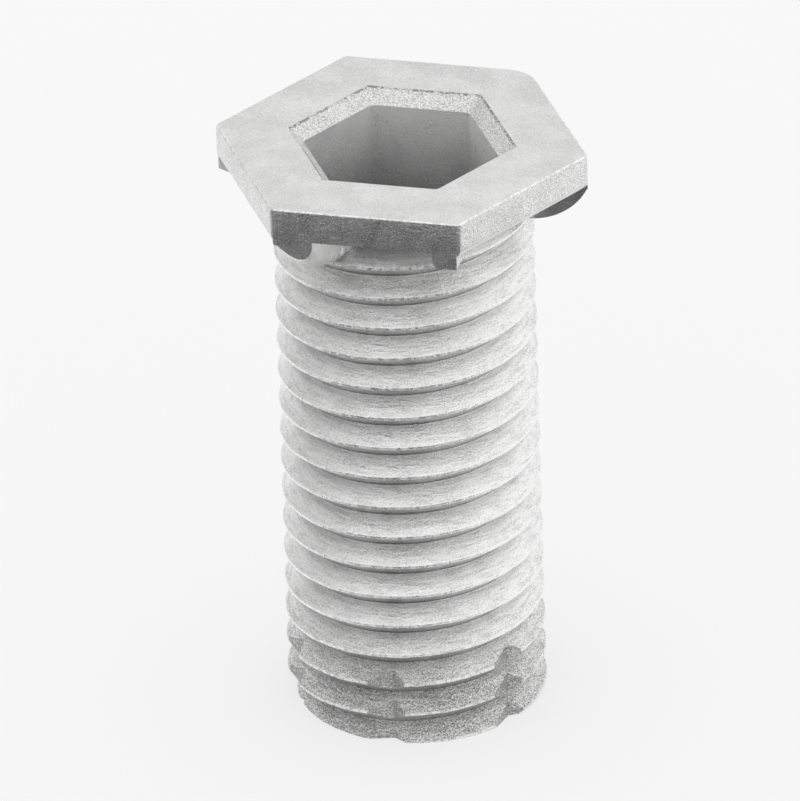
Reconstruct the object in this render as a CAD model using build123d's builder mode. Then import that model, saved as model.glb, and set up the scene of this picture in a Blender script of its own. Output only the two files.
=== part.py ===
from build123d import *
import os
from math import ceil, cos, radians, sin

# A die-cast zinc sleeve that screws into the frame of a window or a door. A hexagon key in the
# socket turns the sleeve, which moves the frame away from the wall or towards it, and a screw
# through the sleeve then holds the frame. The origin is the centre of the end face at the tip,
# +Z runs along the axis to the flange, and two corners of the flange lie on the X axis.
# All lengths are millimetres and all angles degrees.

# Overall form
overall_length = 36.4
flange_across_flats = 19.4
flange_thickness = 2.35
flange_recess = 0.35
flange_corner_radius = 0.45
worn_corner_radius = 2.2
flange_top_edge_radius = 0.15
flange_lower_edge_radius = 0.65

# External thread, right hand
crest_radius = 7.7
thread_depth = 1.1
pitch = 2.0
crest_flat = 0.14
thread_start_angle = -69.5

# Cutting notches, with which the tip taps its own way into the wood
notch_ramp_angle = 11.0
notch_bottom_angle = 2.0
notch_edge_angle = 8.0
notch_depth = 0.62
notch_height = 4.75

# A rib and a tooth under the flange, at the two ends of every second side
rib_drop = 2.2
rib_thickness = 2.1
rib_curve_start = 7.45
rib_edge_radius = 1.1
tooth_drop = 0.65
tooth_width = 1.45
tooth_length = 1.3
tooth_corner_gap = 0.17
tooth_edge_radius = 0.45

# Hexagon socket with its mouth, and the seat for the fixing screw
socket_across_flats = 10.2
socket_corner_radius = 0.4
mouth_across_flats = 11.75
mouth_depth = 0.67
mouth_shift = 0.3
screw_hole_radius = 3.5
screw_hole_length = 2.0
seat_depth = 1.5

# Sizes that follow from those above
sides = 6
side_angle = 360 / sides
flange_corner_reach = flange_across_flats / 2 / cos(radians(side_angle / 2))
flange_underside = overall_length - flange_thickness
shank_top = flange_underside + flange_thickness / 2
root_radius = crest_radius - thread_depth
flank_slope = (pitch - crest_flat) / 2 / thread_depth
overrun = 0.5


def axial_plane(angle, height=0.0):
    """The plane through the axis at this angle, with x outwards and y upwards."""
    turn = radians(angle)
    return Plane(
        origin=(0, 0, height),
        x_dir=(cos(turn), sin(turn), 0),
        z_dir=(sin(turn), -cos(turn), 0),
    )


# One turn of the thread's groove. Its flanks run a little past the crest before they turn
# upright, so that neighbouring turns don't meet outside the shank.
past_crest = 0.04
half_mouth = (pitch - crest_flat) / 2 + past_crest * flank_slope
groove_outer = crest_radius + overrun

with BuildPart() as groove_turn:
    with BuildLine(Plane.XY.rotated((0, 0, thread_start_angle))) as groove_path:
        Helix(pitch=pitch, height=pitch, radius=crest_radius - thread_depth / 2)
    with BuildSketch(axial_plane(thread_start_angle)):
        with BuildLine():
            Polyline(
                (root_radius, 0),
                (crest_radius + past_crest, -half_mouth),
                (groove_outer, -half_mouth),
                (groove_outer, half_mouth),
                (crest_radius + past_crest, half_mouth),
                close=True,
            )
        make_face()
    sweep(path=groove_path.wires()[0], is_frenet=True)

# One cutting notch, seen from above: a long ramp that runs inwards, then a steep cutting edge.
with BuildPart() as notch:
    with BuildSketch():
        with BuildLine():
            Polyline(
                Vector(crest_radius, 0).rotate(Axis.Z, -notch_ramp_angle),
                Vector(crest_radius - notch_depth, 0).rotate(Axis.Z, notch_bottom_angle),
                Vector(crest_radius, 0).rotate(Axis.Z, notch_edge_angle),
                Vector(groove_outer, 0).rotate(Axis.Z, notch_edge_angle),
                Vector(groove_outer, 0).rotate(Axis.Z, -notch_ramp_angle),
                close=True,
            )
        make_face()
    extrude(amount=notch_height)

# The threaded shank. The thread starts in full at the end face and runs up into the flange.
turns = ceil((shank_top + pitch) / pitch)

with BuildPart() as shank:
    with BuildSketch(Plane.XZ):
        with BuildLine():
            Polyline(
                (0, 0),
                (crest_radius, 0),
                (crest_radius, shank_top),
                (0, shank_top),
                close=True,
            )
        make_face()
    revolve(axis=Axis.Z)
    with Locations([(0, 0, (turn - 0.5) * pitch) for turn in range(turns)]):
        add(groove_turn.part, mode=Mode.SUBTRACT)
    with PolarLocations(0, sides, start_angle=side_angle / 2):
        add(notch.part, mode=Mode.SUBTRACT)


# The front side's corners. Its rib stands on the plane through the left corner and the axis,
# and curves from the corner down to the shank. Its tooth is a short lug beside the right corner.
left_corner_angle = -90 - side_angle / 2
rib_plane = axial_plane(left_corner_angle, flange_underside)
side_plane = Plane(
    origin=(flange_corner_reach / 2, -flange_across_flats / 2, flange_underside),
    x_dir=(-1, 0, 0),
    z_dir=(0, 1, 0),
)
rib_top = flange_thickness / 2

with BuildPart() as rib_and_tooth:
    with BuildSketch(rib_plane):
        with BuildLine():
            TangentArc((rib_curve_start, -rib_drop), (flange_corner_reach, flange_recess), tangent=(1, 0))
            Polyline(
                (flange_corner_reach, flange_recess),
                (flange_corner_reach, rib_top),
                (root_radius - overrun, rib_top),
                (root_radius - overrun, -rib_drop),
                (rib_curve_start, -rib_drop),
            )
        make_face()
    extrude(amount=-rib_thickness)
    inner_side = rib_and_tooth.faces().sort_by(Axis(rib_plane.origin, -rib_plane.z_dir))[-1]
    lower_curve = inner_side.edges().filter_by(GeomType.CIRCLE)
    fillet(lower_curve, min(rib_edge_radius, 0.9 * rib_thickness))
    with BuildSketch(side_plane):
        with Locations((tooth_corner_gap + tooth_width / 2, (rib_top - tooth_drop) / 2)):
            Rectangle(tooth_width, rib_top + tooth_drop)
    tooth = extrude(amount=tooth_length)
    fillet(tooth.edges().filter_by(Axis.Y).sort_by(Axis.Z)[0:2].sort_by(Axis.X)[0], tooth_edge_radius)
    with BuildSketch(Plane.XY.offset(flange_underside - rib_drop)):
        RegularPolygon(flange_across_flats / 2, sides, major_radius=False)
    extrude(amount=rib_drop + rib_top, mode=Mode.INTERSECT)

# What rounds the lower edge of a side that carries no ribs.
with BuildPart() as edge_rounding:
    with BuildSketch(axial_plane(90, flange_underside)):
        with BuildLine():
            side_reach = flange_across_flats / 2
            inset = side_reach - flange_lower_edge_radius
            CenterArc((inset, flange_lower_edge_radius), flange_lower_edge_radius, -90, 90)
            Polyline(
                (side_reach, flange_lower_edge_radius),
                (side_reach + overrun, flange_lower_edge_radius),
                (side_reach + overrun, -overrun),
                (inset, -overrun),
                (inset, 0),
            )
        make_face()
    extrude(amount=flange_corner_reach / 2, both=True)

# The shallow recess under the front side, between the planes of its two corners.
with BuildPart() as recess:
    with BuildSketch(Plane.XY.offset(flange_underside)):
        with BuildLine():
            Polyline(
                (0, 0),
                Vector(2 * flange_corner_reach, 0).rotate(Axis.Z, left_corner_angle),
                Vector(2 * flange_corner_reach, 0).rotate(Axis.Z, left_corner_angle + side_angle),
                close=True,
            )
        make_face()
    extrude(amount=flange_recess)

# The flange. One of its corners is worn round.
with BuildPart() as flange:
    with BuildSketch(Plane.XY.offset(flange_underside)) as flange_outline:
        RegularPolygon(flange_across_flats / 2, sides, major_radius=False)
        worn_corner = Axis((0, 0, 0), Vector(1, 0).rotate(Axis.Z, side_angle))
        fillet(flange_outline.vertices().sort_by(worn_corner)[:-1], flange_corner_radius)
        fillet(flange_outline.vertices().sort_by(worn_corner)[-1], worn_corner_radius)
    extrude(amount=flange_thickness)
    fillet(flange.faces().sort_by(Axis.Z)[-1].edges(), flange_top_edge_radius)
    with PolarLocations(0, sides // 2):
        add(edge_rounding.part, mode=Mode.SUBTRACT)
        add(recess.part, mode=Mode.SUBTRACT)


def socket_outline(across_flats, height, shift=0.0):
    """The socket's rounded hexagon at this height."""
    with BuildSketch(Plane.XY.offset(height)) as outline:
        with Locations((0, shift)):
            RegularPolygon(across_flats / 2, sides, major_radius=False)
        fillet(outline.vertices(), socket_corner_radius)
    return outline.sketch


socket_floor = screw_hole_length + seat_depth
mouth_floor = overall_length - mouth_depth

with BuildPart() as adjusting_sleeve:
    add(shank.part)
    add(flange.part)
    with PolarLocations(0, 3):
        add(rib_and_tooth.part)
    with BuildSketch(Plane.XZ):
        with BuildLine():
            Polyline(
                (0, -overrun),
                (screw_hole_radius, -overrun),
                (screw_hole_radius, screw_hole_length),
                (socket_across_flats / 2, socket_floor),
                (0, socket_floor),
                close=True,
            )
        make_face()
    revolve(axis=Axis.Z, mode=Mode.SUBTRACT)
    extrude(socket_outline(socket_across_flats, socket_floor), amount=overall_length, mode=Mode.SUBTRACT)
    loft(
        [
            socket_outline(socket_across_flats, mouth_floor),
            socket_outline(mouth_across_flats, overall_length, mouth_shift),
        ],
        ruled=True,
        mode=Mode.SUBTRACT,
    )

os.makedirs("parts", exist_ok=True)
adjusting_sleeve.part.label = "adjusting_sleeve"
export_step(adjusting_sleeve.part, "parts/adjusting_sleeve.step")
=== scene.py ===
# %% [markdown]
# # A frame adjustment sleeve in cast zinc
#
# The sleeve is one die casting: a hexagon flange, a coarse outside thread that starts with cutting
# notches, and a hexagon socket through its middle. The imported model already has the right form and
# size. This script keeps them, gives the casting its rounded and slightly wavy edges, and finishes
# it as raw zinc. Every length is in metres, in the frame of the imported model: the origin is the
# centre of the end face at the tip, and +Z runs up the axis to the flange.

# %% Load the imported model
from math import atan2, ceil, cos, hypot, radians, sin, tan

import bmesh
import bpy
from mathutils import Matrix, Vector, noise


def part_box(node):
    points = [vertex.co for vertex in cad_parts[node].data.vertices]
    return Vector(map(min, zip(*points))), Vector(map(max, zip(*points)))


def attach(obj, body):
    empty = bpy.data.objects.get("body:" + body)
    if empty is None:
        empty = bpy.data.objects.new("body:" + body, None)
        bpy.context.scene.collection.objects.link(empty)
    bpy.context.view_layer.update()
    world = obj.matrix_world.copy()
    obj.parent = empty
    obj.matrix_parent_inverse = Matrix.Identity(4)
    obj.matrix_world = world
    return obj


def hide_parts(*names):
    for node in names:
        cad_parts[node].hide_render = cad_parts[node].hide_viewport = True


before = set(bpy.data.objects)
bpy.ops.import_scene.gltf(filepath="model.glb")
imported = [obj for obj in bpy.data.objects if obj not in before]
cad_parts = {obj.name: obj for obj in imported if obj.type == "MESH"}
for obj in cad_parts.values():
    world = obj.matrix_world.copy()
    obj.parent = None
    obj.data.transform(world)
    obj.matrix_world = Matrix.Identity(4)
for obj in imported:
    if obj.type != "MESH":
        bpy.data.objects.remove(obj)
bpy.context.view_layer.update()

# %% [markdown]
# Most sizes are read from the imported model's box. The rest are the casting's own driving sizes,
# the same ones as its drawing has.

# %% Sizes
MM = 0.001
low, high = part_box("adjusting_sleeve")
length = high.z
flats = high.y - low.y

crest_radius = 7.7 * MM
thread_depth = 1.1 * MM
pitch = 2.0 * MM
crest_flat = 0.14 * MM
thread_start = radians(-69.5)

flange_height = 2.35 * MM
recess_height = 0.35 * MM
underside = length - flange_height
shank_top = underside + flange_height / 2
sides = 6
side_angle = radians(360 / sides)
corner_reach = flats / 2 / cos(side_angle / 2)
spare = 0.5 * MM
print("length", round(length / MM, 2), "mm, across flats", round(flats / MM, 2), "mm")

# %% [markdown]
# ## The camera
#
# The photograph was taken from far away with a long lens, so that parallel edges stay almost
# parallel. The camera looks down at about 29 degrees and is rolled by less than 2 degrees. Its
# place is worked out from those angles, from its distance, and from how far the middle of the top
# face lies from the middle of the picture.

# %% Camera
view_azimuth = radians(13.624)
view_elevation = radians(29.044)
view_roll = radians(-1.796)
view_distance = 1132.9 * MM
view_offset = Vector((0.066, 15.28)) * MM
sensor = 36.0
focal_pixels = 19357.5
picture_height = 801


def camera_axes():
    """The camera's right, up and back directions."""
    back = Vector(
        (
            sin(view_azimuth) * cos(view_elevation),
            -cos(view_azimuth) * cos(view_elevation),
            sin(view_elevation),
        )
    )
    level_right = back.cross(Vector((0, 0, -1))).normalized()
    level_up = level_right.cross(-back)
    right = cos(view_roll) * level_right + sin(view_roll) * level_up
    up = -sin(view_roll) * level_right + cos(view_roll) * level_up
    return right, up, back


def make_camera():
    right, up, back = camera_axes()
    place = Vector((0, 0, length)) + back * view_distance
    place -= right * view_offset.x + up * view_offset.y
    turn = Matrix((right, up, back)).transposed().to_4x4()
    data = bpy.data.cameras.new("camera")
    data.lens = focal_pixels * sensor / picture_height
    data.sensor_width = sensor
    camera = bpy.data.objects.new("camera", data)
    camera.matrix_world = Matrix.Translation(place) @ turn
    bpy.context.scene.collection.objects.link(camera)
    bpy.context.scene.camera = camera
    return camera


camera = make_camera()
print("camera at", [round(v, 3) for v in camera.location], "lens", round(camera.data.lens), "mm")

# %% [markdown]
# ## The thread
#
# A thread is one profile, carried round the axis and lifted by one pitch in each turn. Blender's
# spin operator does just that when it gets a lift for each step. The profile here is one pitch
# long, from the bottom of a groove over the crest to the next groove, so that each turn joins the
# one below it. Real cast crests aren't perfect: they wander by a few hundredths of a millimetre,
# and noise on the crest's points gives the thin bright line its slightly broken look.


# %% Helpers for meshes
smallest_gap = 0.0005 * MM
merge_gap = 0.002 * MM


def finish_mesh(bm, name):
    """Makes an object of a bmesh, with its faces pointing outwards."""
    bmesh.ops.remove_doubles(bm, verts=bm.verts, dist=smallest_gap)
    bmesh.ops.recalc_face_normals(bm, faces=bm.faces)
    mesh = bpy.data.meshes.new(name)
    bm.to_mesh(mesh)
    bm.free()
    made = bpy.data.objects.new(name, mesh)
    bpy.context.scene.collection.objects.link(made)
    return made


def polar(radius, angle, height=0.0):
    """The point at this radius, angle and height."""
    return Vector((radius * cos(angle), radius * sin(angle), height))


def rounded(before, corner, after, size, steps=2):
    """Points of a smooth corner between two straight stretches."""
    start = corner + (before - corner).normalized() * size
    end = corner + (after - corner).normalized() * size
    points = []
    for step in range(steps + 1):
        t = step / steps
        points.append(start * (1 - t) ** 2 + corner * 2 * t * (1 - t) + end * t**2)
    return points


# %% Thread profile
steps_per_turn = 120
thread_bottom = -1.5 * pitch
crest_rounding = 0.035 * MM
root_rounding = 0.12 * MM
end_gap = 0.01 * MM


def thread_profile():
    """One pitch of the thread as (radius, 0, height), from groove to groove."""
    root = crest_radius - thread_depth
    bottom = Vector((root, 0, 0))
    lower = Vector((crest_radius, 0, (pitch - crest_flat) / 2))
    upper = Vector((crest_radius, 0, (pitch + crest_flat) / 2))
    top = Vector((root, 0, pitch))
    flank = bottom.lerp(lower, 0.5)
    points = rounded(top - Vector((0, 0, pitch)) + (upper - top), bottom, flank, root_rounding)[1:]
    points.append(flank)
    points += rounded(flank, lower, upper, crest_rounding)
    points += rounded(lower, upper, top, crest_rounding)
    points.append(top.lerp(upper, 0.5))
    points += rounded(upper, top, top + (lower - bottom), root_rounding)[:2]
    return points


print("profile:", len(thread_profile()), "points")

# %% Worn crests
crest_wander = 0.022 * MM
mean_wear = 0.4
long_wave = 0.9 * MM
short_wave = 0.35 * MM
short_share = 0.6
lift_wave = 1.3 * MM
lift_share = 1.5
lift_offset = Vector((7, 3, 5))


def wear_crests(bm):
    """Moves the points of the crests a little, so that the edge isn't perfect."""
    for vert in bm.verts:
        radius = hypot(vert.co.x, vert.co.y)
        height = (radius - crest_radius + thread_depth) / thread_depth
        share = max(0.0, height) ** 3 * crest_wander
        wave = noise.noise(vert.co / long_wave) + short_share * noise.noise(vert.co / short_wave)
        lift = noise.noise(vert.co / lift_wave + lift_offset)
        outwards = Vector((vert.co.x, vert.co.y, 0)).normalized()
        vert.co += outwards * share * (wave - mean_wear) + Vector((0, 0, share * lift * lift_share))


# %% Spun thread
def cut_flat(bm, height, up):
    """Cuts the thread off at a height and closes it there."""
    bmesh.ops.bisect_plane(
        bm,
        geom=bm.verts[:] + bm.edges[:] + bm.faces[:],
        plane_co=(0, 0, height),
        plane_no=(0, 0, up),
        clear_outer=True,
    )
    rim = [e for e in bm.edges if e.is_boundary and abs(e.verts[0].co.z - height) < end_gap]
    bmesh.ops.contextual_create(bm, geom=rim)


def make_thread():
    turns = ceil((shank_top + 2 * pitch) / pitch)
    bm = bmesh.new()
    start = [polar(p.x, thread_start, p.z + thread_bottom) for p in thread_profile()]
    verts = [bm.verts.new(p) for p in start]
    for one, two in zip(verts, verts[1:]):
        bm.edges.new((one, two))
    bmesh.ops.spin(
        bm,
        geom=bm.verts[:] + bm.edges[:],
        cent=(0, 0, 0),
        axis=(0, 0, 1),
        dvec=(0, 0, pitch / steps_per_turn),
        angle=radians(360) * turns,
        steps=steps_per_turn * turns,
        use_duplicate=False,
    )
    bmesh.ops.remove_doubles(bm, verts=bm.verts, dist=merge_gap)
    wear_crests(bm)
    cut_flat(bm, 0.0, -1)
    cut_flat(bm, shank_top, 1)
    return finish_mesh(bm, "sleeve_casting")


casting = make_thread()
print("thread:", len(casting.data.polygons), "faces")

# %% [markdown]
# ## The notches
#
# The lowest turns are notched so that the tip cuts its own way into the wood. Seen from above, a
# notch is a long ramp into the crest and a steep way out. Six such prisms stand round the axis. They
# wait until the socket is made, and then a Boolean modifier cuts both off the casting at once. No
# face of a cutter may lie in a face of the casting, so each one reaches a little past it.


# %% Helpers for prisms and booleans
def lifted_outline(outline, lift):
    """A flat outline, lifted along a vector to a closed bmesh."""
    bm = bmesh.new()
    face = bm.faces.new([bm.verts.new(point) for point in outline])
    grown = bmesh.ops.extrude_face_region(bm, geom=[face])
    far = [v for v in grown["geom"] if isinstance(v, bmesh.types.BMVert)]
    bmesh.ops.translate(bm, verts=far, vec=lift)
    bmesh.ops.recalc_face_normals(bm, faces=bm.faces)
    return bm


def prism(name, outline, lift):
    """An object made of a lifted outline."""
    return finish_mesh(lifted_outline(outline, lift), name)


def turned_copies(piece, count, angle):
    """Turned copies of a piece, joined in one mesh."""
    bm = bmesh.new()
    for number in range(count):
        first = len(bm.verts)
        bm.from_mesh(piece.data)
        bm.verts.ensure_lookup_table()
        turn = Matrix.Rotation(number * angle, 3, "Z")
        bmesh.ops.rotate(bm, verts=bm.verts[first:], cent=(0, 0, 0), matrix=turn)
    bm.to_mesh(piece.data)
    bm.free()
    return piece


def combine(target, tool, operation):
    """Joins the tool to the target, or cuts it off, and removes the tool."""
    modifier = target.modifiers.new("combine", "BOOLEAN")
    modifier.operation = operation
    modifier.solver = "MANIFOLD"
    modifier.object = tool
    depsgraph = bpy.context.evaluated_depsgraph_get()
    mesh = bpy.data.meshes.new_from_object(target.evaluated_get(depsgraph))
    target.modifiers.clear()
    bm = bmesh.new()
    bm.from_mesh(mesh)
    bmesh.ops.remove_doubles(bm, verts=bm.verts, dist=smallest_gap)
    bmesh.ops.dissolve_degenerate(bm, edges=bm.edges, dist=smallest_gap)
    bm.to_mesh(mesh)
    bm.free()
    target.data = mesh
    bpy.data.objects.remove(tool)
    print(target.name, operation.lower(), "leaves", len(mesh.polygons), "faces")


# %% Notches
notch_ramp = radians(-11.0)
notch_bottom = radians(2.0)
notch_edge = radians(8.0)
notch_depth = 0.62 * MM
notch_height = 4.75 * MM
crest_spare = 0.002 * MM


def make_notches():
    turn = side_angle / 2
    below = -spare
    outer = crest_radius + spare
    crest = crest_radius + crest_spare
    outline = [
        polar(crest, turn + notch_ramp, below),
        polar(crest_radius - notch_depth, turn + notch_bottom, below),
        polar(crest, turn + notch_edge, below),
        polar(outer, turn + notch_edge, below),
        polar(outer, turn + notch_ramp, below),
    ]
    notches = prism("notches", outline, Vector((0, 0, notch_height - below)))
    return turned_copies(notches, sides, side_angle)


cutters = make_notches()
print("notches:", len(cutters.data.polygons), "faces")

# %% [markdown]
# ## The flange
#
# The flange, its ribs and its teeth share their side faces. So they are built a little too wide,
# and one hexagon prism then trims them all flush, as a die would. The prism is six edges pulled up:
# beveling its upright edges rounds the corners, one of them much more than the others because it is
# worn, and beveling its top outline rounds the rim. Underneath, three sides have a rounded edge, and
# the three between them have a shallow recess.

# %% Flange
corner_radius = 0.45 * MM
worn_radius = 2.2 * MM
worn_angle = side_angle
top_rounding = 0.15 * MM
lower_rounding = 0.65 * MM
corner_steps = 5
worn_steps = 12
rim_steps = 3
lower_steps = 8
rib_drop = 2.2 * MM
rib_count = sides // 2
rib_turn = 2 * side_angle
recess_reach = 4 * MM
recess_inset = radians(3)


def side_normal_angle(number):
    """The direction that this side of the hexagon faces. Number 0 is the front."""
    return radians(-90) + number * side_angle


def bevel_edges(bm, edges, offset, segments):
    return bmesh.ops.bevel(
        bm,
        geom=edges,
        offset=offset,
        offset_type="OFFSET",
        segments=segments,
        profile=0.5,
        affect="EDGES",
        material=-1,
    )


def hexagon(reach, height):
    return [polar(reach, number * side_angle, height) for number in range(sides)]


def make_trim():
    """The prism with the flange's true outline, down to the ends of the ribs."""
    bottom = underside - rib_drop - spare
    bm = lifted_outline(hexagon(corner_reach, bottom), Vector((0, 0, length - bottom)))

    def upright(edge):
        return abs(edge.verts[0].co.z - edge.verts[1].co.z) > flange_height

    def is_worn(edge):
        middle = (edge.verts[0].co + edge.verts[1].co) / 2
        return abs(atan2(middle.y, middle.x) - worn_angle) < side_angle / 4

    offset_share = tan(side_angle / 2)
    others = [e for e in bm.edges if upright(e) and not is_worn(e)]
    bevel_edges(bm, others, corner_radius * offset_share, corner_steps)
    worn = [e for e in bm.edges if upright(e) and is_worn(e)]
    bevel_edges(bm, worn, worn_radius * offset_share, worn_steps)
    rim = [e for e in bm.edges if min(v.co.z for v in e.verts) > length - smallest_gap]
    bevel_edges(bm, rim, top_rounding, rim_steps)
    return finish_mesh(bm, "trim")


def make_edge_rounding():
    """What rounds the lower edge of a side that has no ribs."""
    reach = flats / 2
    angle = side_normal_angle(1)
    outwards = polar(1, angle)
    along = polar(1, angle + radians(90))
    middle = outwards * (reach - lower_rounding) + Vector((0, 0, underside + lower_rounding))
    outline = []
    for step in range(lower_steps + 1):
        turn = radians(90) * step / lower_steps
        on_arc = outwards * cos(turn) - Vector((0, 0, sin(turn)))
        outline.append(middle + on_arc * lower_rounding)
    outline.append(Vector((middle.x, middle.y, underside - spare)))
    outline.append(outwards * (reach + spare) + Vector((0, 0, underside - spare)))
    outline.append(outwards * (reach + spare) + Vector((0, 0, underside + lower_rounding)))
    start = along * -corner_reach / 2
    bar = prism("edge_rounding", [point + start for point in outline], along * corner_reach)
    return turned_copies(bar, rib_count, rib_turn)


def make_recess():
    angle = side_normal_angle(0)
    bottom = underside - spare
    left = angle - side_angle / 2 + recess_inset
    right = angle + side_angle / 2
    outline = [
        polar(recess_reach, right, bottom),
        polar(recess_reach, left, bottom),
        polar(2 * corner_reach, left, bottom),
        polar(2 * corner_reach, right, bottom),
    ]
    recess = prism("recess", outline, Vector((0, 0, recess_height + spare)))
    return turned_copies(recess, rib_count, rib_turn)


oversize = hexagon(corner_reach + spare, underside)
flange = prism("flange", oversize, Vector((0, 0, flange_height + spare)))
combine(flange, make_edge_rounding(), "DIFFERENCE")
combine(flange, make_recess(), "DIFFERENCE")

# %% [markdown]
# ## The ribs and the teeth
#
# Under every second side a curved rib runs from the left corner down to the shank, and a short tooth
# stands beside the right corner. The rib is a flat profile with one arc, pushed sideways, and its
# lower edge is beveled with a large radius on one side.

# %% Ribs
rib_thickness = 2.1 * MM
rib_curve_start = 7.45 * MM
rib_rounding = 1.1 * MM
rib_steps = 16
rib_rounding_steps = 8
rib_top = flange_height - spare
edge_gap = 0.01 * MM


def make_rib():
    """The rib at the front side's left corner."""
    angle = side_normal_angle(0) - side_angle / 2
    outwards = polar(1, angle)
    sideways = Vector((-outwards.y, outwards.x, 0))
    base = Vector((0, 0, underside))

    def place(reach, height):
        return base + outwards * reach + Vector((0, 0, height))

    run = corner_reach - rib_curve_start
    rise = recess_height + rib_drop
    radius = (run**2 + rise**2) / (2 * rise)
    sweep = atan2(run, radius - rise)
    outline = []
    for step in range(rib_steps + 1):
        turn = sweep * step / rib_steps
        reach = rib_curve_start + radius * sin(turn)
        outline.append(place(reach, -rib_drop + radius * (1 - cos(turn))))
    inner = crest_radius - thread_depth - spare
    outline.append(place(corner_reach + spare, recess_height))
    outline.append(place(corner_reach + spare, rib_top))
    outline.append(place(inner, rib_top))
    outline.append(place(inner, -rib_drop))
    bm = lifted_outline(outline, sideways * rib_thickness)

    def on_lower_edge(edge):
        at_side = all(v.co.dot(sideways) > rib_thickness / 2 for v in edge.verts)
        on_curve = all(
            v.co.z < underside + recess_height + edge_gap
            and v.co.dot(outwards) > rib_curve_start - edge_gap
            for v in edge.verts
        )
        at_bottom = all(v.co.z < underside - rib_drop + edge_gap for v in edge.verts)
        return at_side and (on_curve or at_bottom)

    lower_edge = [e for e in bm.edges if on_lower_edge(e)]
    bevel_edges(bm, lower_edge, rib_rounding, rib_rounding_steps)
    return finish_mesh(bm, "ribs")


# %% Teeth
tooth_drop = 0.65 * MM
tooth_width = 1.45 * MM
tooth_length = 1.3 * MM
tooth_gap = 0.17 * MM
tooth_rounding = 0.45 * MM
tooth_rounding_steps = 6


def make_tooth():
    """The tooth beside the front side's right corner."""
    right = corner_reach / 2 - tooth_gap
    left = right - tooth_width
    front = -flats / 2 - spare / 2
    base = underside - tooth_drop
    outline = [
        Vector((left, front, base)),
        Vector((right, front, base)),
        Vector((right, front, underside + rib_top)),
        Vector((left, front, underside + rib_top)),
    ]
    bm = lifted_outline(outline, Vector((0, tooth_length + spare / 2, 0)))

    def at_lower_left(edge):
        return all(abs(v.co.x - left) + abs(v.co.z - base) < edge_gap for v in edge.verts)

    lower_left = [e for e in bm.edges if at_lower_left(e)]
    bevel_edges(bm, lower_left, tooth_rounding, tooth_rounding_steps)
    return finish_mesh(bm, "teeth")


combine(flange, turned_copies(make_rib(), rib_count, rib_turn), "UNION")
combine(flange, turned_copies(make_tooth(), rib_count, rib_turn), "UNION")
combine(flange, make_trim(), "INTERSECT")
combine(casting, flange, "UNION")

# %% [markdown]
# ## The socket
#
# A 10 mm key drops into the hexagon socket. The socket is one hexagon face, raised in steps: straight
# up along the walls, outwards at the sloping mouth, and a hair further at the rim to round it. At the
# bottom a cone carries the head of the fixing screw, above a round hole for its shank.

# %% Socket
socket_flats = 10.2 * MM
socket_corner = 0.4 * MM
mouth_flats = 11.75 * MM
mouth_depth = 0.67 * MM
mouth_shift = 0.3 * MM
rim_rounding = 0.06 * MM
screw_hole_radius = 3.5 * MM
screw_hole_length = 2.0 * MM
seat_depth = 1.5 * MM
seat_gap = 0.03 * MM
seat_radius = socket_flats / 2 - seat_gap
socket_floor = screw_hole_length + seat_depth
seat_steps = 96


def raise_face(bm, face, height, growth=1.0, shift=0.0):
    """Raises the top face to a height. It may grow, and move backwards."""
    grown = bmesh.ops.extrude_face_region(bm, geom=[face])
    verts = [v for v in grown["geom"] if isinstance(v, bmesh.types.BMVert)]
    top = [f for f in grown["geom"] if isinstance(f, bmesh.types.BMFace)][0]
    bmesh.ops.delete(bm, geom=[face], context="FACES_ONLY")
    bmesh.ops.scale(bm, verts=verts, vec=(growth, growth, 1))
    bmesh.ops.translate(bm, verts=verts, vec=(0, shift, height - verts[0].co.z))
    return top


def make_socket():
    bm = bmesh.new()
    outline = hexagon(socket_flats / 2 / cos(side_angle / 2), socket_floor)
    bm.faces.new([bm.verts.new(point) for point in outline])
    bmesh.ops.bevel(
        bm,
        geom=bm.verts[:],
        offset=socket_corner * tan(side_angle / 2),
        segments=corner_steps,
        profile=0.5,
        affect="VERTICES",
        material=-1,
    )
    face = bm.faces[:][0]
    bmesh.ops.duplicate(bm, geom=[face])
    top = raise_face(bm, face, length - mouth_depth)
    top = raise_face(bm, top, length - rim_rounding, mouth_flats / socket_flats, mouth_shift)
    top = raise_face(bm, top, length, 1 + 2 * rim_rounding / mouth_flats)
    raise_face(bm, top, length + spare)
    return finish_mesh(bm, "socket")


def make_screw_hole():
    bm = bmesh.new()
    outline = [
        Vector((0, 0, -spare)),
        Vector((screw_hole_radius, 0, -spare)),
        Vector((screw_hole_radius, 0, screw_hole_length)),
        Vector((seat_radius, 0, socket_floor)),
        Vector((seat_radius, 0, socket_floor + spare)),
        Vector((0, 0, socket_floor + spare)),
    ]
    verts = [bm.verts.new(point) for point in outline]
    for one, two in zip(verts, verts[1:]):
        bm.edges.new((one, two))
    bmesh.ops.spin(
        bm,
        geom=bm.verts[:] + bm.edges[:],
        cent=(0, 0, 0),
        axis=(0, 0, 1),
        angle=radians(360),
        steps=seat_steps,
        use_merge=True,
    )
    return finish_mesh(bm, "screw_hole")


combine(cutters, make_screw_hole(), "UNION")
combine(cutters, make_socket(), "UNION")
combine(casting, cutters, "DIFFERENCE")

# %% [markdown]
# ## Smooth shading
#
# The mesh is made of small flat faces. Smooth shading hides the steps of the spun thread, and edges
# that are sharper than a limit stay crisp. A closed mesh has no open edges, so they are counted.

# %% Smooth shading
sharp_angle = radians(24)
casting.data.shade_smooth()
casting.data.set_sharp_from_angle(angle=sharp_angle)
triangles = sum(len(p.vertices) - 2 for p in casting.data.polygons)
check = bmesh.new()
check.from_mesh(casting.data)
open_edges = sum(1 for e in check.edges if not e.is_manifold)
print("casting:", triangles, "triangles,", open_edges, "open edges, volume", check.calc_volume() / MM**3)
check.free()

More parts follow.
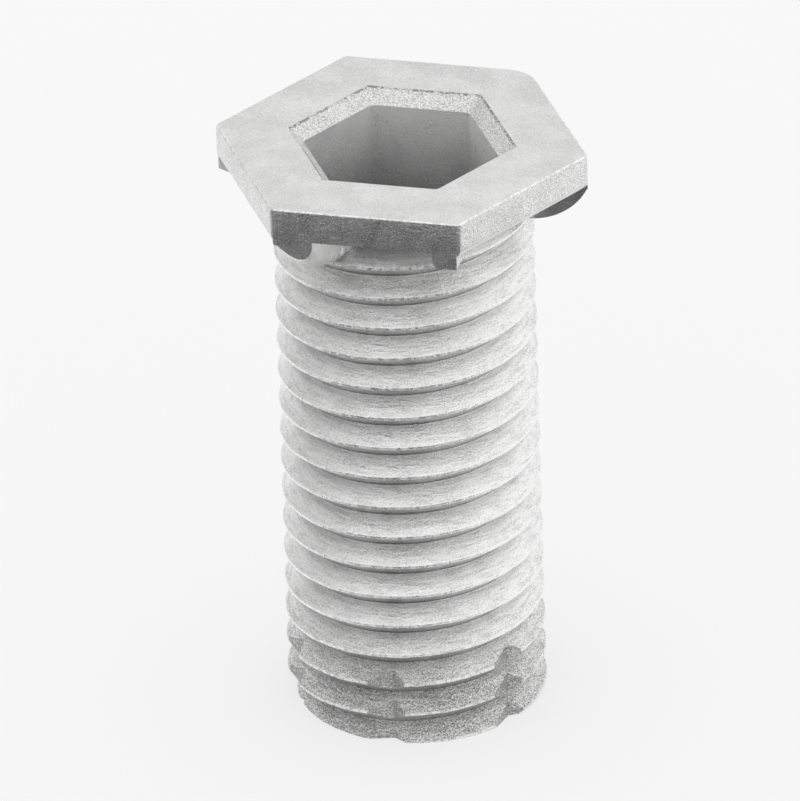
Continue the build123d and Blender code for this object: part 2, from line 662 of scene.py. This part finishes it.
# %% [markdown]
# ## The zinc
#
# Raw cast zinc is a grey metal with a matt, slightly sandy skin. Its finish is built of node groups:
# a grain, streaks, and masks that say where on the casting a point lies. All of them read Object
# coordinates, in metres, so that the pattern stays fixed to the metal. A small class keeps the code
# that adds and links nodes short.


# %% Helpers for nodes
class Graph:
    """Short calls for adding linked nodes to a node tree."""

    def __init__(self, tree):
        self.tree = tree

    def node(self, kind, inputs=None, **settings):
        made = self.tree.nodes.new(kind)
        for name, value in settings.items():
            setattr(made, name, value)
        for name, value in (inputs or {}).items():
            socket = made.inputs[name]
            if isinstance(value, bpy.types.NodeSocket):
                self.tree.links.new(value, socket)
            else:
                socket.default_value = value
        return made

    def math(self, operation, one, two=0.0, three=0.0):
        values = {0: one, 1: two, 2: three}
        return self.node("ShaderNodeMath", values, operation=operation).outputs[0]

    def product(self, first, *others):
        for other in others:
            first = self.math("MULTIPLY", first, other)
        return first

    def remap(self, value, low, high, new_low=0.0, new_high=1.0):
        inputs = {
            "Value": value,
            "From Min": low,
            "From Max": high,
            "To Min": new_low,
            "To Max": new_high,
        }
        return self.node("ShaderNodeMapRange", inputs, interpolation_type="SMOOTHSTEP").outputs[0]

    def noise(self, vector, scale, detail=2.0, roughness=0.5):
        inputs = {"Vector": vector, "Scale": scale, "Detail": detail, "Roughness": roughness}
        return self.node("ShaderNodeTexNoise", inputs).outputs[0]

    def mix_colours(self, share, one, two):
        inputs = {0: share, 6: one, 7: two}
        return self.node("ShaderNodeMix", inputs, data_type="RGBA").outputs[2]


# %% Helpers for node groups
def new_group(name, **numbers):
    """A node group that reads a place, and numbers with their usual values."""
    tree = bpy.data.node_groups.new(name, "ShaderNodeTree")
    tree.interface.new_socket("Place", in_out="INPUT", socket_type="NodeSocketVector")
    for number, value in numbers.items():
        socket = tree.interface.new_socket(number, in_out="INPUT", socket_type="NodeSocketFloat")
        socket.default_value = value
    start = tree.nodes.new("NodeGroupInput")
    return Graph(tree), start.outputs


def finish_group(graph, **values):
    """Gives the group its outputs, each with the value that it puts out."""
    for name in values:
        graph.tree.interface.new_socket(name, in_out="OUTPUT", socket_type="NodeSocketFloat")
    end = graph.tree.nodes.new("NodeGroupOutput")
    for name, value in values.items():
        graph.tree.links.new(value, end.inputs[name])
    print(graph.tree.name, "puts out", ", ".join(values))
    return graph.tree


# %% [markdown]
# ### Grain
#
# A casting copies its die, which is never quite smooth. Fine and medium noise make the skin, and a
# cell pattern makes the pits of the rough places. The fine noise also speckles the colour.

# %% Grain
fine_scale = 11000.0
fine_height = 0.45
medium_scale = 4200.0
medium_height = 0.4
pit_scale = 8000.0
pit_height = 1.3
fine_in_pits = 1.5
speckle_range = (0.38, 0.62)


def make_grain_group():
    """Tiny bumps and pits. Coarseness makes them larger and deeper."""
    graph, start = new_group("cast_grain", Coarseness=0.0)
    place = start["Place"]
    fine = graph.noise(place, fine_scale, 2.0, 0.7)
    medium = graph.noise(place, medium_scale, 2.0, 0.6)
    pits = graph.node("ShaderNodeTexVoronoi", {"Vector": place, "Scale": pit_scale}, feature="F1")
    skin = graph.math("MULTIPLY_ADD", fine, fine_height, graph.math("MULTIPLY", medium, medium_height))
    rough = graph.math("MULTIPLY_ADD", fine, fine_in_pits, pits.outputs["Distance"])
    rough = graph.product(rough, start["Coarseness"], pit_height)
    height = graph.math("ADD", skin, rough)
    return finish_group(graph, Height=height, Tone=graph.remap(fine, *speckle_range))


cast_grain = make_grain_group()

# %% [markdown]
# ### Streaks
#
# The die was polished round the shank, and its fine lines show on the flanks of the thread. Noise
# that is squeezed along X and Y, but not along Z, turns into such lines.

# %% Streaks
streak_scale = 8000.0
squeeze = (0.1, 0.1, 1.0)


def make_streak_group():
    """Fine lines that run round the shank."""
    graph, start = new_group("die_streaks")
    squeezed = graph.node("ShaderNodeVectorMath", {0: start["Place"], 1: squeeze}, operation="MULTIPLY")
    lines = graph.noise(squeezed.outputs[0], streak_scale, 3.0, 0.65)
    return finish_group(graph, Height=lines)


die_streaks = make_streak_group()

# %% [markdown]
# ### Places
#
# The finish depends on the place. Crests and rims get a painted highlight, grooves and undersides get
# painted shade, the socket gets painted shade that deepens towards its bottom, and the tip is sandy,
# with painted shade on its lowest turns and on the faces that the notches cut. A mask is a number
# from 0 to 1. It is worked out from the height, from the distance to the axis, and from the distance
# to the sides of a hexagon. Noise breaks the thin bright and dark lines, because real edges aren't
# even.

# %% Helpers for masks
broken_scale = 3500.0
broken_range = (0.42, 0.58)
broken_least = 0.2


def split(graph, vector):
    """The x, y and z of a place or a direction."""
    parts = graph.node("ShaderNodeSeparateXYZ", {"Vector": vector})
    return [parts.outputs[name] for name in "XYZ"]


def axis_distance(graph, x, y):
    """How far a point is from the axis."""
    square = graph.math("MULTIPLY_ADD", x, x, graph.math("MULTIPLY", y, y))
    return graph.math("SQRT", square)


def hexagon_distance(graph, x, y):
    """How far a point is from the axis, measured square to the nearest side of the hexagon."""
    across = graph.math("MULTIPLY", graph.math("ABSOLUTE", x), sin(side_angle))
    slanted = graph.math("MULTIPLY_ADD", graph.math("ABSOLUTE", y), cos(side_angle), across)
    return graph.math("MAXIMUM", graph.math("ABSOLUTE", y), slanted)


def broken_line(graph, place):
    """A mask that breaks a thin line into dashes."""
    return graph.remap(graph.noise(place, broken_scale), *broken_range, broken_least, 1.0)


def from_whole(graph, value):
    """How far a number is above or below the nearest whole number."""
    return graph.math("SUBTRACT", value, graph.math("ROUND", value))


# %% Places on the thread
root_radius = crest_radius - thread_depth
shank_heights = (underside, underside - 0.2 * MM)
shank_outside = (crest_radius + 0.2 * MM, crest_radius + 0.1 * MM)
shank_inside = (root_radius - 0.3 * MM, root_radius - 0.1 * MM)
crest_range = (crest_radius - 0.08 * MM, crest_radius - 0.02 * MM)
groove_range = (root_radius + 0.5 * MM, root_radius + 0.1 * MM)
under_range = (-0.2, -0.6)
parting_range = (0.008, 0.002)


def make_thread_places():
    """Masks of the shank, its crests, grooves and undersides, and the die's parting lines."""
    graph, start = new_group("thread_places")
    x, y, z = split(graph, start["Place"])
    radius = axis_distance(graph, x, y)
    shank = graph.product(
        graph.remap(z, *shank_heights),
        graph.remap(radius, *shank_outside),
        graph.remap(radius, *shank_inside),
    )
    broken = broken_line(graph, start["Place"])
    # Under marks the faces that point downwards, which the material paints with shade.
    normal = graph.node("ShaderNodeTexCoord").outputs["Normal"]
    upwards = split(graph, normal)[2]
    turn = graph.math("DIVIDE", graph.math("ARCTAN2", y, x), side_angle)
    to_line = graph.math("ABSOLUTE", from_whole(graph, turn))
    return finish_group(
        graph,
        Shank=shank,
        Crest=graph.product(graph.remap(radius, *crest_range), shank, broken),
        Groove=graph.product(graph.remap(radius, *groove_range), shank),
        Under=graph.product(graph.remap(upwards, *under_range), shank),
        Parting=graph.product(graph.remap(to_line, *parting_range), shank),
    )


thread_places = make_thread_places()

# %% Places at the tip
tip_heights = (9 * MM, 2 * MM)
sand_heights = (11 * MM, 1 * MM)
sand_most = 0.95
cut_skin = 0.06 * MM
cut_range = (0.03 * MM, 0.1 * MM)


def make_tip_places():
    """Masks of the tip and of the faces that the notches cut, both painted with shade, and of the tip's
    sandy skin.
    """
    graph, start = new_group("tip_places")
    x, y, z = split(graph, start["Place"])
    turn = graph.math("DIVIDE", graph.math("ARCTAN2", y, x), side_angle)
    turn = from_whole(graph, graph.math("SUBTRACT", turn, 0.5))
    ramp_slope = notch_depth / (notch_bottom - notch_ramp)
    edge_slope = notch_depth / (notch_edge - notch_bottom)
    on_ramp = graph.math("MULTIPLY_ADD", turn, side_angle * ramp_slope, -notch_ramp * ramp_slope)
    on_edge = graph.math("MULTIPLY_ADD", turn, -side_angle * edge_slope, notch_edge * edge_slope)
    cut = graph.math("MINIMUM", on_ramp, on_edge)
    filled_radius = graph.math("ADD", axis_distance(graph, x, y), cut)
    ramp = graph.product(
        graph.math("GREATER_THAN", filled_radius, crest_radius - cut_skin),
        graph.remap(cut, *cut_range),
        graph.math("LESS_THAN", z, notch_height),
    )
    tip = graph.remap(z, *tip_heights)
    return finish_group(graph, Tip=tip, Sand=graph.remap(z, *sand_heights, 0.0, sand_most), Ramp=ramp)


tip_places = make_tip_places()

# %% Places on the flange
rim_width = 0.14 * MM
rim_heights = (length - rim_width, length - rim_width / 2)
rim_reaches = (flats / 2 - rim_width, flats / 2 - rim_width / 2)
side_skin = 0.01 * MM
mouth_top = length - 0.03 * MM
mouth_bottom = length - mouth_depth
lip_range = (0.09 * MM, 0.03 * MM)
lip_bottom = length - 0.12 * MM
wall_skin = 0.05 * MM
full_shade_height = length - 7 * MM


def make_flange_places():
    """Masks of the flange's rim and sides, and of the socket with its mouth."""
    graph, start = new_group("flange_places")
    x, y, z = split(graph, start["Place"])
    broken = broken_line(graph, start["Place"])
    reach = hexagon_distance(graph, x, y)
    mouth_reach = hexagon_distance(graph, x, graph.math("SUBTRACT", y, mouth_shift))
    to_lip = graph.math("ABSOLUTE", graph.math("SUBTRACT", mouth_reach, mouth_flats / 2))
    mouth = graph.product(
        graph.math("LESS_THAN", z, mouth_top),
        graph.math("LESS_THAN", reach, mouth_flats / 2 + mouth_shift),
        graph.math("GREATER_THAN", z, mouth_bottom),
    )
    socket = graph.product(
        graph.math("LESS_THAN", reach, socket_flats / 2 + wall_skin),
        graph.math("LESS_THAN", z, mouth_bottom),
    )
    at_top = graph.math("GREATER_THAN", z, lip_bottom)
    return finish_group(
        graph,
        Rim=graph.product(graph.remap(z, *rim_heights), graph.remap(reach, *rim_reaches), broken),
        Side=graph.math("GREATER_THAN", reach, flats / 2 - side_skin),
        Mouth=mouth,
        Lip=graph.product(graph.remap(to_lip, *lip_range), broken, at_top),
        Socket=socket,
        # Depth marks the socket's walls further down, which the material paints with shade.
        Depth=graph.product(graph.remap(z, mouth_bottom, full_shade_height), socket),
    )


flange_places = make_flange_places()

# %% [markdown]
# ### The finish
#
# The material only adds up what the groups put out. The tone runs from 0 for the darkest zinc to 1
# for the palest. Clouds and speckles give it a start, and each mask then shifts it up or down. The
# coarser the skin, the stronger the speckles and the deeper the pits. Worn crests are smoother and
# less metallic. The socket's walls are less metallic too, because a mirror down there stays black.

# %% Zinc tones
darkest_zinc = (0.3, 0.3, 0.297, 1)
palest_zinc = (1.0, 1.0, 0.995, 1)
# Painted shade: the grooves of the thread are darkened towards this colour, for the shade between the
# turns.
groove_shade_colour = (0.16, 0.16, 0.16, 1)
groove_shade_share = 0.3
coarse_shares = {"Side": 0.45, "Mouth": 0.8, "Shank": 0.3}
tone_shifts = {
    # Painted highlight: the crests are painted paler, for the light that their rounded edges catch.
    "Crest": 0.5,
    "Shank": 0.25,
    # Painted shade: faces that point downwards, such as the thread's lower flanks, are painted darker.
    "Under": -0.5,
    "Side": 0.1,
    # Painted shade: the lowest turns of the tip are painted darker.
    "Tip": -0.3,
    # Painted shade: the faces that the notches cut are painted darker.
    "Ramp": -0.42,
    "Mouth": 0.15,
    # Painted highlight: the flange's top rim is painted paler, for the light that its rounded edge
    # catches.
    "Rim": 0.45,
    "Lip": -0.7,
    "Socket": 0.4,
    # Painted shade: the socket's walls are painted darker towards its bottom.
    "Depth": -0.65,
}
noise_range = (0.35, 0.65)
cloud_scale = 500.0
cloud_tones = (0.56, 0.68)
speckle_least = 0.2
speckle_growth = 0.7
streak_range = (0.3, 0.7)
streak_tones = (-0.18, 0.18)


def zinc_colour(graph, place, mask, coarse, speckle, streak):
    """The colour of the zinc, with painted highlights and painted shade, and more painted shade in the
    grooves.
    """
    cloud = graph.remap(graph.noise(place, cloud_scale, 3.0, 0.6), *noise_range, *cloud_tones)
    swing = graph.math("MULTIPLY_ADD", coarse, speckle_growth, speckle_least)
    tone = graph.math("MULTIPLY_ADD", graph.math("SUBTRACT", speckle, 0.5), swing, cloud)
    streak_tone = graph.remap(streak, *streak_range, *streak_tones)
    tone = graph.math("MULTIPLY_ADD", mask["Shank"], streak_tone, tone)
    for name, shift in tone_shifts.items():
        tone = graph.math("MULTIPLY_ADD", mask[name], shift, tone)
    tone = graph.node("ShaderNodeClamp", {"Value": tone}).outputs[0]
    toned_zinc = graph.mix_colours(tone, darkest_zinc, palest_zinc)
    # Painted shade in the grooves of the thread.
    groove_shade = graph.math("MULTIPLY", mask["Groove"], groove_shade_share)
    return graph.mix_colours(groove_shade, toned_zinc, groove_shade_colour)


# %% Zinc material
metallic = 0.95
metallic_shifts = {"Crest": -0.4, "Socket": -0.4}
dull_scale = 900.0
dull_noise = (0.3, 0.7)
dull_range = (0.27, 0.37)
crest_polish = -0.1
pit_growth = 0.85
pit_least = 0.08
streak_height = 0.6
parting_height = 0.35
bump_strength = 0.9
bump_depth = 0.045 * MM


def make_zinc():
    zinc = bpy.data.materials.new("raw_cast_zinc")
    zinc.use_nodes = True
    graph = Graph(zinc.node_tree)
    place = graph.node("ShaderNodeTexCoord").outputs["Object"]
    mask = {}
    for group in (thread_places, tip_places, flange_places):
        placed = graph.node("ShaderNodeGroup", node_tree=group)
        graph.tree.links.new(place, placed.inputs["Place"])
        mask.update({socket.name: socket for socket in placed.outputs})
    coarse = mask["Sand"]
    for name, share in coarse_shares.items():
        coarse = graph.math("MAXIMUM", coarse, graph.math("MULTIPLY", mask[name], share))
    grain = graph.node("ShaderNodeGroup", node_tree=cast_grain)
    pits = graph.math("MULTIPLY_ADD", graph.math("MULTIPLY", coarse, coarse), pit_growth, pit_least)
    graph.tree.links.new(place, grain.inputs["Place"])
    graph.tree.links.new(pits, grain.inputs["Coarseness"])
    streaks = graph.node("ShaderNodeGroup", node_tree=die_streaks)
    graph.tree.links.new(place, streaks.inputs["Place"])
    streak = streaks.outputs["Height"]

    metal = metallic
    for name, shift in metallic_shifts.items():
        metal = graph.math("MULTIPLY_ADD", mask[name], shift, metal)
    dull = graph.remap(graph.noise(place, dull_scale), *dull_noise, *dull_range)
    height = graph.math("MULTIPLY_ADD", streak, streak_height, grain.outputs["Height"])
    height = graph.math("MULTIPLY_ADD", mask["Parting"], parting_height, height)
    bump = {"Height": height, "Strength": bump_strength, "Distance": bump_depth}
    skin = {
        "Base Color": zinc_colour(graph, place, mask, coarse, grain.outputs["Tone"], streak),
        "Metallic": metal,
        "Roughness": graph.math("MULTIPLY_ADD", mask["Crest"], crest_polish, dull),
        "Normal": graph.node("ShaderNodeBump", bump).outputs["Normal"],
    }
    shader = graph.tree.nodes["Principled BSDF"]
    for name, value in skin.items():
        graph.tree.links.new(value, shader.inputs[name])
    return zinc


zinc = make_zinc()
casting.data.materials.clear()
casting.data.materials.append(zinc)
print("zinc:", len(zinc.node_tree.nodes), "nodes")

# %% [markdown]
# ## Floor and light
#
# Metal looks like what it reflects. The sleeve stands in an even white tent, which is the world
# here. Two dark cards stand in front and a grey one on the left, as a photographer sets them up to
# give bright metal its form. Only reflections see them, so the floor stays clean. The floor glows a
# little, like a light table, which keeps the shadow as faint as it is in the photograph.


# %% Floor
floor_size = 8
floor_colour = (0.3, 0.3, 0.3, 1)
floor_glow = 0.655


def make_stage_plane(name, size, place, turn=(0, 0, 0)):
    bm = bmesh.new()
    bmesh.ops.create_grid(bm, x_segments=1, y_segments=1, size=0.5)
    bmesh.ops.scale(bm, verts=bm.verts, vec=(size[0], size[1], 1))
    plane = finish_mesh(bm, name)
    plane.location = place
    plane.rotation_euler = turn
    return plane


def paper(plane, colour):
    """Gives a plane a matt paper of its own, and returns the paper's shader."""
    material = bpy.data.materials.new(plane.name + "_paper")
    material.use_nodes = True
    shader = material.node_tree.nodes["Principled BSDF"]
    shader.inputs["Base Color"].default_value = colour
    shader.inputs["Roughness"].default_value = 1.0
    plane.data.materials.append(material)
    return shader


floor = make_stage_plane("floor", (floor_size, floor_size), (0, 0, 0))
glowing = paper(floor, floor_colour)
glowing.inputs["Specular IOR Level"].default_value = 0.0
glowing.inputs["Emission Color"].default_value = (1, 1, 1, 1)
glowing.inputs["Emission Strength"].default_value = floor_glow
print("floor:", floor_size, "m wide")

# %% Cards
dark = 0.02
grey = 0.55
upright = radians(90)


def make_card(name, tone, size, place, turn=(0, 0, 0)):
    """A card that only reflections see."""
    card = make_stage_plane(name, size, place, turn)
    paper(card, (tone, tone, tone, 1))
    card.visible_camera = False
    card.visible_diffuse = False
    card.visible_shadow = False
    card.visible_transmission = False
    print(name, "at", place)


make_card("front_floor_card", dark, (0.6, 0.515), (-0.06, -0.2725, 0.0004))
make_card("front_card", dark, (0.5, 0.3), (-0.06, -0.53, 0.15), (upright, 0, 0))
make_card("left_card", grey, (0.7, 0.6), (-0.45, 0.0, 0.25), (upright, 0, upright))

# %% Tent
tent_white = 0.955


def make_tent():
    tent = bpy.data.worlds.new("tent")
    tent.use_nodes = True
    background = tent.node_tree.nodes["Background"]
    background.inputs["Color"].default_value = (tent_white, tent_white, tent_white, 1)
    background.inputs["Strength"].default_value = 1.0
    bpy.context.scene.world = tent


make_tent()
bpy.context.scene.view_settings.view_transform = "Standard"
print("tent:", tent_white, "white")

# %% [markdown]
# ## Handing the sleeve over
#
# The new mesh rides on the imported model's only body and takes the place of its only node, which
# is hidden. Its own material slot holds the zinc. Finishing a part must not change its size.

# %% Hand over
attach(casting, "root")
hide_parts("adjusting_sleeve")
